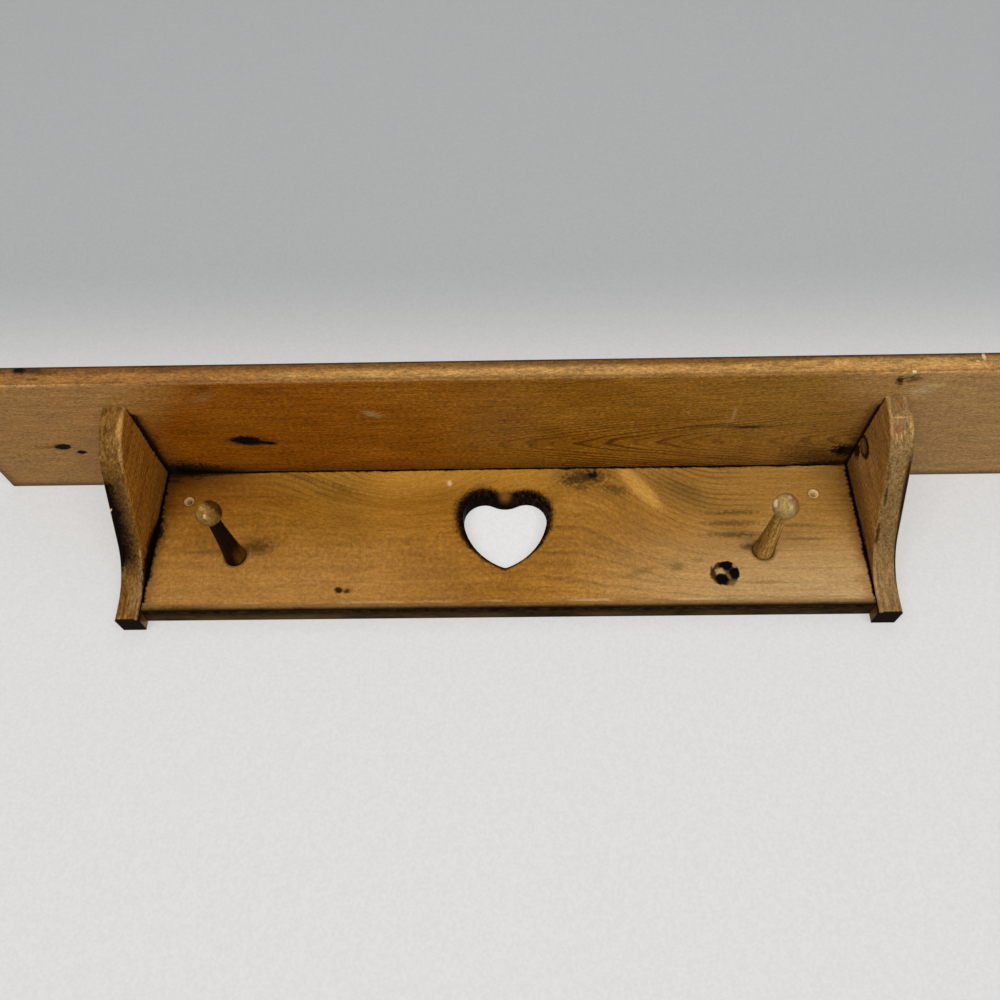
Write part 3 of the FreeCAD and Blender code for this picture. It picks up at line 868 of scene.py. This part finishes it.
def dressBack(look):
    sheet = startWood("backPine", look)
    tree, fields = sheet["tree"], sheet["fields"]
    low, high = inMillimetres(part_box("back_board"))
    x, y, z, drop = (fields[name] for name in ("x", "y", "z", "drop"))
    fields["toLeft"] = minus(tree, x, low[0])
    fields["toRight"] = minus(tree, high[0], x)
    fields["toBottom"] = minus(tree, z, low[2])
    fields["toFront"] = minus(tree, y, low[1])
    addMasks(sheet, look["masks"])
    paintWashes(sheet, look["washes"])
    paintMarks(sheet, look["knotsStainsAndShadows"])

    behind = ease(tree, fields["toFront"], *look["behind"])
    paintSeam(sheet, drop, **look["shelfSeam"])
    paintSeam(sheet, drop, **look["cornerSeam"])
    paintWashes(sheet, look["leftShade"])
    paintSeam(sheet, fields["toLeft"], **look["leftSeam"], beyond=behind)
    paintSeam(sheet, fields["toRight"], **look["rightHalo"], beyond=behind)
    paintSeam(sheet, fields["toRight"], **look["rightSeam"], beyond=behind)

    rim = calc(tree, "MAXIMUM", fromHeart(tree, fields, look["heart"]), 0.0)
    fields["rim"] = calc(tree, "DIVIDE", rim, zone(sheet, look["heartSpread"]))
    paintSeam(sheet, fields["rim"], **look["heartHalo"])
    paintSeam(sheet, fields["rim"], **look["heartStain"])
    paintWashes(sheet, look["heartWashes"])

    fields["fromGlint"] = apart(tree, fields["toBottom"], look["glintHeight"])
    paintWashes(sheet, look["lowerShade"])
    paintSeam(sheet, fields["toBottom"], **look["bottomSeam"])
    paintWashes(sheet, look["bottomWashes"])
    for holeX, holeZ, bare in look["screwHoles"]:
        fields["away"] = fromPoint(tree, x, z, holeX, holeZ)
        fields["fromRing"] = apart(tree, fields["away"], look["screwRing"])
        paintWashes(sheet, [look["screwShade"], {**look["screwWood"], "amount": bare}, look["screwLine"]])
    for holeX, holeZ in look["pegHoles"]:
        fields["away"] = fromPoint(tree, x, z, holeX, holeZ)
        paintWashes(sheet, [look["pegShade"]])
    finishWood(sheet, look, "back_board")


dressBack(backLook)
print("back board dressed")


# Brackets

bracketLook = {
    "grainAxes": "zyx",
    "pithAcross": -160.0,
    "pithDepth": 420.0,
    "taper": 0.05,
    "ringGap": 5.5,
    "wander": 30.0,
    "ringStrength": 0.16,
    "bump": 0.5,
    "streaks": 0.5,
    "speckle": 1.2,
    "gloss": 0.05,
    "varnish": 0.13,
    "varnishRoughness": 0.35,
    "boardFace": -19.0,  # where the back board's front meets the bracket
    "frontFacing": (0.25, 0.6),
    "offFront": (-0.1, -0.9, 4.0, 0.0),
    "masks": {"onInner": {"toInner": (2.0, 0.6)}},
    "seamLimit": 30.0,
    "topLimit": 6.0,
    "topSeam": {"width": 0.9, "bleed": 2.4, "seed": 81.0},
    "innerLimit": 40.0,
    "backShade": [wash("umber", 0.5, backSeam=(34.0, 2.0))],
    "backSeam": {"width": 9.5, "bleed": 8.0, "seed": 91.0},
    "footWashes": [
        wash("umber", 0.6, y=(-22.0, -17.0), toBottom=(12.0, 7.0)),
        wash("black", 0.97, roughness=0.85, toBottom=(1.6, 0.4)),  # end grain
    ],
    # the pale inner arris: partly rubbed varnish, partly a painted highlight
    "innerArrisRubAndHighlight": {
        "faces": ("toInner", "offFront"), "reach": 3.2, "patchy": 0.7,
        "colour": (0.42, 0.24, 0.085, 1), "amount": 0.7,
    },
}

bracketSides = {
    "left": {
        "deep": (0.130, 0.050, 0.006, 1),
        "mid": (0.365, 0.146, 0.015, 1),
        "pale": (0.560, 0.280, 0.060, 1),
        "seed": 9.0,
        "outwards": -1.0,
        "outerThin": {"drop": (52.0, 70.0, 1.2, 0.7)},
        "edgeWashes": [
            wash((0.165, 0.076, 0.014, 1), 0.82, ("onFront",), roughness=0.75),
            wash("umber", 0.65, ("onFront",), ((2.2, 3.0, 15.0), 0.45, 0.1, 5.0), 0.8),
            wash("bare", 0.3, ("onFront",), ((2.2, 3.0, 15.0), 0.36, 0.1, 15.0), 0.7),
            wash(
                (0.045, 0.022, 0.006, 1), 0.85, ("onFront",),
                drop=[(36.0, 62.0), (116.0, 84.0)], toInner=(1.0, 9.0, 0.35, 1.0),
            ),  # dark in the hollow
        ],
        "hollow": {"drop": [(44.0, 54.0), (121.0, 90.0)]},
        "outerSeam": {"width": 8.0, "bleed": 8.0, "seed": 95.0},
        "marks": [
            # pale line along the inner arris, painted highlight
            mark((-303.6, -117.0, -16.0), (3.4, 6.0, 19.0), (0.46, 0.22, 0.060, 1), 0.85, 0.25, 0.6),
            mark((-302.5, -108.0, -42.0), (2.4, 6.0, 16.0), (0.42, 0.22, 0.070, 1), 0.7, 0.3, 0.7),
            mark((-316.0, -118.0, -4.0), (5.0, 4.0, 7.0), "umber", 0.75, 0.6, 0.7),
            mark((-314.4, -68.0, -67.8), (4.8, 8.0, 3.2), "black", 1.0, 0.4, 0.5, dent=0.8),
            mark((-318.2, -69.4, -66.0), (2.4, 4.0, 0.9), "chipAndHighlight", 1.0, 0.1, 0.4, turn=25, axis="y"),
            mark((-306.0, -26.0, -120.0), (8.0, 12.0, 20.0), (0.30, 0.16, 0.055, 1), 0.7, 0.5, 0.9),
        ],
        "backThin": {"drop": [(42.0, 60.0, 3.0, 1.0), (98.0, 114.0, 1.0, 2.2)]},
        "rubSeed": 2.0,
        "grooves": [
            mark((-300.7, -21.0, -86.0), (6.0, 14.0, 32.0), "black", 0.95, 0.7, 0.6),
        ],
    },
    "right": {
        "deep": (0.140, 0.060, 0.009, 1),
        "mid": (0.336, 0.166, 0.038, 1),
        "pale": (0.490, 0.280, 0.096, 1),
        "seed": 17.0,
        "outwards": 1.0,
        "outerThin": {"drop": (60.0, 105.0, 1.0, 2.0)},
        "edgeWashes": [
            wash((0.278, 0.168, 0.068, 1), 0.82, ("onFront",), roughness=0.75),
            wash("umber", 0.45, ("onFront",), ((2.4, 4.0, 30.0), 0.45, 0.1, 5.0), 0.8),
            wash("bare", 0.3, ("onFront",), ((2.4, 4.0, 30.0), 0.36, 0.1, 15.0), 0.7),
            wash("olive", 0.4, ("onFront",), drop=[(40.0, 70.0), (112.0, 90.0)]),
            wash(
                "black", 0.95, ("onFront",), roughness=0.85,
                outerLine=(5.4, 2.4), drop=[(36.0, 52.0), (122.0, 104.0)],
            ),  # black line along the outer arris
            wash("umber", 0.7, ("onFront",), ((4.0, 4.0, 22.0), 0.5, 0.12, 8.0), toInner=(4.0, 1.0)),
        ],
        "marks": [
            mark((309.5, -118.0, -7.5), (6.0, 4.0, 8.0), (0.26, 0.105, 0.040, 1), 0.8, 0.5, 0.5),
            mark((306.5, -115.0, -30.0), (6.5, 5.0, 9.0), (0.25, 0.105, 0.040, 1), 0.75, 0.5, 0.5),
            mark((309.0, -117.7, -18.6), (8.0, 4.0, 1.1), "bare", 0.9, 0.2, 0.7),
            mark((317.5, -115.0, -26.0), (2.6, 6.0, 17.0), "bare", 0.75, 0.4, 0.7),
            mark((306.0, -112.0, -34.0), (0.9, 5.0, 6.0), "bare", 0.9, 0.2, 0.6, turn=12, axis="y"),
            mark((309.5, -113.0, -33.0), (0.9, 5.0, 5.0), "bare", 0.9, 0.2, 0.6, turn=16, axis="y"),
            mark((312.0, -113.5, -31.0), (0.8, 5.0, 4.0), "bare", 0.8, 0.2, 0.6, turn=10, axis="y"),
            mark((300.7, -63.5, -10.5), (5.0, 10.0, 13.5), "black", 0.95, 0.2, 0.25,
                 turn=10, axis="x", dent=0.4),
            mark((300.7, -62.0, -8.0), (6.0, 6.4, 10.0), (0.19, 0.085, 0.018, 1), 1.0, 0.25, 0.3,
                 turn=10, axis="x"),
            mark((300.7, -48.0, -5.0), (5.0, 9.0, 7.5), "black", 0.95, 0.4, 0.5),
        ],
        "backThin": {"drop": [(42.0, 60.0, 2.8, 2.0), (98.0, 114.0, 1.0, 1.3)]},
        "rubSeed": 4.0,
        "grooves": [
            mark((303.6, -74.0, -64.0), (1.6, 12.0, 13.0), "umber", 0.85, 0.3, 0.7),
            mark((302.6, -47.0, -83.0), (1.8, 14.0, 12.0), "umber", 0.9, 0.4, 0.7),
        ],
    },
}


def dressBracket(name, look):
    sheet = startWood(name + "BracketPine", look)
    tree, fields = sheet["tree"], sheet["fields"]
    low, high = inMillimetres(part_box(name + "_bracket"))
    outwards, drop = look["outwards"], fields["drop"]
    inner, outer = (high[0], low[0]) if outwards < 0 else (low[0], high[0])
    fields["toInner"] = product(tree, minus(tree, fields["x"], inner), outwards)
    toOuter = product(tree, minus(tree, outer, fields["x"]), outwards)
    fields["outerLine"] = product(tree, toOuter, zone(sheet, look["outerThin"]))
    fields["toBottom"] = minus(tree, fields["z"], low[2])
    fields["offFront"] = ease(tree, sheet["facing"][1], *look["offFront"])
    onFront = ease(tree, product(tree, sheet["facing"][1], -1.0), *look["frontFacing"])
    fields["onFront"] = onFront
    addMasks(sheet, look["masks"])

    paintWashes(sheet, look["edgeWashes"])
    if "outerSeam" in look:
        elsewhere = minus(tree, 1.0, zone(sheet, look["hollow"], onFront))
        paintSeam(
            sheet, fields["outerLine"], **look["outerSeam"],
            beyond=product(tree, elsewhere, look["seamLimit"]),
        )
    paintMarks(sheet, look["marks"])
    paintSeam(sheet, drop, **look["topSeam"], beyond=product(tree, onFront, look["topLimit"]))
    offInner = product(tree, minus(tree, 1.0, fields["onInner"]), look["innerLimit"])
    fields["backSeam"] = calc(tree, "ADD", apart(tree, fields["y"], look["boardFace"]), offInner)
    paintWashes(sheet, look["backShade"])
    paintSeam(sheet, fields["backSeam"], **look["backSeam"], thin=look["backThin"])
    paintWashes(sheet, look["footWashes"])
    # pale inner arris, partly a painted highlight
    paintRub(sheet, **look["innerArrisRubAndHighlight"], seed=look["rubSeed"])
    paintMarks(sheet, look["grooves"])
    finishWood(sheet, look, name + "_bracket")


for bracketName, bracketSide in bracketSides.items():
    dressBracket(bracketName, {**bracketLook, **bracketSide})
print("brackets dressed")


# Pegs

pegLook = {
    "grainAxes": "yxz",
    "pithAcross": 0.0,
    "pithDepth": 100.0,
    "taper": 0.0,
    "ringGap": 3.0,
    "wander": 4.0,
    "ringStrength": 0.2,
    "bump": 0.3,
    "streaks": 0.8,
    "speckle": 1.0,
    "gloss": 0.03,
    "varnish": 0.12,
    "varnishRoughness": 0.2,
    "headRadius": 10.1,
    "headFade": (-0.8, -3.2),  # measured from the back of the ball
    "shadeSpan": 0.45,
    "headWashes": [
        wash("bare", 0.35, ("onHead",), ((5.0, 5.0, 5.0), 0.42, 0.12, 4.0), 0.3),
        wash("olive", 0.5, ("onHead",), ((4.0, 4.0, 4.0), 0.34, 0.12, 9.0)),
    ],
    # painted shade where the peg meets the board
    "rootWash": wash("black", 0.75, y=(-24.0, -19.0)),
}

pegStains = {
    "left": {
        "deep": (0.004, 0.0016, 0.0008, 1),
        "mid": (0.011, 0.0042, 0.0018, 1),
        "pale": (0.035, 0.013, 0.003, 1),
        "seed": 2.0,
        "head": wash((0.215, 0.096, 0.009, 1), 0.95, ("onHead",), roughness=0.3),
        "headShade": wash((0.055, 0.018, 0.002, 1), 0.92, ("onHead", "shade"), roughness=0.75),
        "shadeTowards": (0.66, -0.30, 0.69),
        "shadeFrom": 0.24,
        "marks": [
            # painted highlights on the ball: a white spot and a paler patch
            mark((-228.5, -102.0, -90.2), (2.4, 3.0, 2.0), "chipAndHighlight", 0.8, 0.5, 0.8),
            mark((-231.8, -104.0, -84.5), (4.0, 3.0, 3.0), "bare", 0.5, 0.6, 0.9),
            mark((-222.5, -103.0, -85.5), (3.0, 3.0, 2.4), "olive", 0.8, 0.6, 0.8),
        ],
        "shaftWashes": [
            wash((0.010, 0.0040, 0.0015, 1), 0.5, ("onShaft",), roughness=0.85),
            wash((0.060, 0.026, 0.006, 1), 0.6, ("onShaft",), aside=(-3.0, -7.0)),
            wash((0.16, 0.066, 0.007, 1), 0.7, y=(-46.0, -26.0), aside=(1.5, 6.0)),
        ],
    },
    "right": {
        "deep": (0.170, 0.072, 0.010, 1),
        "mid": (0.475, 0.255, 0.058, 1),
        "pale": (0.660, 0.400, 0.135, 1),
        "seed": 6.0,
        "head": wash((0.345, 0.225, 0.072, 1), 0.95, ("onHead",), roughness=0.3),
        "headShade": wash((0.215, 0.105, 0.034, 1), 0.92, ("onHead", "shade"), roughness=0.75),
        "shadeTowards": (0.90, -0.20, 0.39),
        "shadeFrom": 0.05,
        "marks": [
            # painted highlights on the ball: a white rim, a pale facet on top and a pale streak
            mark((207.4, -99.6, -83.0), (2.6, 4.0, 5.0), (0.80, 0.68, 0.44, 1), 0.9, 0.3, 0.7),
            mark((217.2, -104.2, -80.8), (2.0, 3.0, 3.0), (0.52, 0.38, 0.24, 1), 0.8, 0.4, 0.8),
            mark((217.8, -103.0, -89.2), (1.6, 3.0, 3.2), (0.58, 0.45, 0.22, 1), 0.7, 0.4, 0.7),
        ],
        "shaftWashes": [
            wash("umber", 0.8, ("onShaft",), aside=(2.0, 6.0)),
            wash("umber", 0.6, ("onShaft",), aside=(-3.0, -8.0)),
        ],
    },
}


def dressPeg(name, look):
    sheet = startWood(name + "PegWood", look)
    tree, fields = sheet["tree"], sheet["fields"]
    low, high = inMillimetres(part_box(name + "_peg"))
    radius = look["headRadius"]
    middle = ((low[0] + high[0]) / 2, low[1] + radius, (low[2] + high[2]) / 2)
    headBack = middle[1] + radius
    fields["aside"] = minus(tree, fields["x"], middle[0])
    fields["onHead"] = ease(tree, fields["y"], *[headBack + offset for offset in look["headFade"]])
    fields["onShaft"] = minus(tree, 1.0, fields["onHead"])
    outward = calcVector(tree, "NORMALIZE", calcVector(tree, "SUBTRACT", sheet["place"], middle))
    turned = addNode(tree, "VectorMath", {0: outward, 1: look["shadeTowards"]}, operation="DOT_PRODUCT")
    shadeFrom, shadeTo = look["shadeFrom"], look["shadeFrom"] + look["shadeSpan"]
    fields["shade"] = ease(tree, turned.outputs["Value"], shadeFrom, shadeTo)
    paintWashes(sheet, [look["head"], *look["headWashes"], look["headShade"]])
    paintMarks(sheet, look["marks"])
    paintWashes(sheet, [*look["shaftWashes"], look["rootWash"]])
    finishWood(sheet, look, name + "_peg")


for pegName, pegStain in pegStains.items():
    dressPeg(pegName, {**pegLook, **pegStain})
print("pegs dressed")


# Nails

nailLook = {
    "steel": (0.22, 0.205, 0.19, 1),
    "rust": (0.12, 0.055, 0.025, 1),
    "rustNoise": (0.9, 4.0, 0.65),
    "rustFade": (0.45, 0.65),
    "brushNoise": (3.5, 2.0),
    "metalFade": (0.2, 0.9, 1.0, 0.1),
    "roughness": 0.3,
    "rustRoughness": 0.3,
    "brushRoughness": 0.3,
    "bump": 0.3,
    "bumpDistance": 0.0001,
}


def dressNails(look):
    material, tree = newMaterial("nailSteel")
    place = scaled(tree, addNode(tree, "TexCoord").outputs["Object"], millimetres)
    rust = ease(tree, noise(tree, place, *look["rustNoise"]), *look["rustFade"])
    brushed = noise(tree, place, *look["brushNoise"])
    roughness = calc(tree, "MULTIPLY_ADD", rust, look["rustRoughness"], look["roughness"])
    bump = {"Strength": look["bump"], "Distance": look["bumpDistance"], "Height": rust}
    shader = addNode(
        tree,
        "BsdfPrincipled",
        {
            "Base Color": mixColour(tree, rust, look["steel"], look["rust"]),
            "Metallic": ease(tree, rust, *look["metalFade"]),
            "Roughness": calc(tree, "MULTIPLY_ADD", brushed, look["brushRoughness"], roughness),
            "Normal": addNode(tree, "Bump", bump).outputs[0],
        },
    )
    showSurface(tree, shader)
    for name in ("shelf_bracket_nails", "shelf_back_nails", "bracket_back_nails"):
        nodes[name].material_slots[0].material = material


dressNails(nailLook)
print("nails dressed")


# Stage: the pale surface that the object lies on, the lights and the camera

stageLook = {  # in metres
    "surfaceSize": 2.4,
    "surfaceGap": 0.0012,  # behind the wall plane, so that the two never share a face
    "near": (0.748, 0.742, 0.730, 1),
    # far and farFade are painted shade: the surface darkens further up, where the light falls off
    "far": (0.440, 0.445, 0.450, 1),
    "farFade": (0.04, 0.27),
    # painted light: the surface is paler behind the heart, where the object's shadow falls
    "behindHeart": (0.860, 0.852, 0.836, 1),
    "heartMiddle": (0.0, 0.0, -0.058),
    "heartFade": (0.078, 0.045),
    "speckleNoise": (420.0, 3.0, 0.7),
    "speckleFade": (0.3, 0.7, 0.0, 0.07),
    "speckleColour": (0, 0, 0, 1),
    "roughness": 0.75,
    "gloss": 0.2,
    "glow": 0.6,  # share of the surface's paleness that does not hang on the lamps
    "ambientColour": (1, 0.99, 0.97, 1),
    "ambient": 0.36,
    "seen": 0.62,
}

lamps = {
    "leftLamp": {"at": (-0.75, -1.95, -0.60), "size": 0.9, "power": 15.5},
    "rightLamp": {"at": (0.75, -1.95, -0.60), "size": 0.9, "power": 15.5},
    "topLamp": {"at": (0.0, -1.9, 0.9), "size": 1.4, "power": 4.5},
    "rearLamp": {"at": (0.6, 1.6, 1.0), "size": 1.2, "power": 11.0},
}

cameraSetup = {
    "at": (0.01051, -0.70845, -0.42218),
    "view": (-0.018785, 0.870003, 0.492689),
    "up": (0.012451, -0.492535, 0.870204),
    "lens": 32.74,
    "clipStart": 0.01,
}


def buildSurface(look):
    half, gap = look["surfaceSize"], look["surfaceGap"]
    mesh = bpy.data.meshes.new("paleSurface")
    corners = [(-half, gap, -half), (half, gap, -half), (half, gap, half), (-half, gap, half)]
    mesh.from_pydata(corners, [], [(0, 1, 2, 3)])
    surface = bpy.data.objects.new("paleSurface", mesh)
    bpy.context.scene.collection.objects.link(surface)
    surface.visible_diffuse = False  # the wall behind never darkens the object's back
    surface.visible_glossy = False
    surface.visible_shadow = False

    material, tree = newMaterial("paleSurface")
    place = addNode(tree, "TexCoord").outputs["Object"]
    colour = mixColour(tree, ease(tree, split(tree, place)[2], *look["farFade"]), look["near"], look["far"])
    fromMiddle = vectorLength(tree, calcVector(tree, "SUBTRACT", place, look["heartMiddle"]))
    colour = mixColour(tree, ease(tree, fromMiddle, *look["heartFade"]), colour, look["behindHeart"])
    speckle = ease(tree, noise(tree, place, *look["speckleNoise"]), *look["speckleFade"])
    colour = mixColour(tree, speckle, colour, look["speckleColour"])
    sheet = addNode(tree, "BsdfPrincipled", {"Base Color": colour})
    sheet.inputs["Roughness"].default_value = look["roughness"]
    sheet.inputs["Specular IOR Level"].default_value = look["gloss"]
    pale = addNode(tree, "Emission", {"Color": colour, "Strength": seenDirectly(tree)})
    lit = addNode(tree, "MixShader", {0: look["glow"], 1: sheet.outputs[0], 2: pale.outputs[0]})
    behind = addNode(tree, "NewGeometry").outputs["Backfacing"]  # the surface is clear from behind
    clear = addNode(tree, "BsdfTransparent")
    showSurface(tree, addNode(tree, "MixShader", {0: behind, 1: lit.outputs[0], 2: clear.outputs[0]}))
    mesh.materials.append(material)


def buildWorld(look):
    world = bpy.data.worlds.new("softRoom")
    bpy.context.scene.world = world
    world.use_nodes = True
    tree = world.node_tree
    tree.nodes.clear()
    strength = mixValue(tree, seenDirectly(tree), look["ambient"], look["seen"])
    light = addNode(tree, "Background", {"Color": look["ambientColour"], "Strength": strength})
    tree.links.new(light.outputs[0], addNode(tree, "OutputWorld").inputs["Surface"])


def buildLamps(setup):
    for name, lamp in setup.items():
        data = bpy.data.lights.new(name, "AREA")
        data.shape = "DISK"
        data.size = lamp["size"]
        data.energy = lamp["power"]
        holder = bpy.data.objects.new(name, data)
        holder.location = lamp["at"]
        holder.rotation_euler = (-Vector(lamp["at"])).to_track_quat("-Z", "Y").to_euler()
        bpy.context.scene.collection.objects.link(holder)


def buildCamera(setup):
    data = bpy.data.cameras.new("photoCamera")
    data.lens = setup["lens"]
    data.clip_start = setup["clipStart"]
    camera = bpy.data.objects.new("photoCamera", data)
    backward = -Vector(setup["view"]).normalized()
    right = Vector(setup["up"]).cross(backward).normalized()
    turn = Matrix((right, backward.cross(right), backward)).transposed()
    camera.matrix_world = Matrix.Translation(setup["at"]) @ turn.to_4x4()
    bpy.context.scene.collection.objects.link(camera)
    bpy.context.scene.camera = camera


buildSurface(stageLook)
buildWorld(stageLook)
buildLamps(lamps)
buildCamera(cameraSetup)
bpy.context.scene.view_settings.view_transform = "Standard"
print("stage, lamps and camera set")
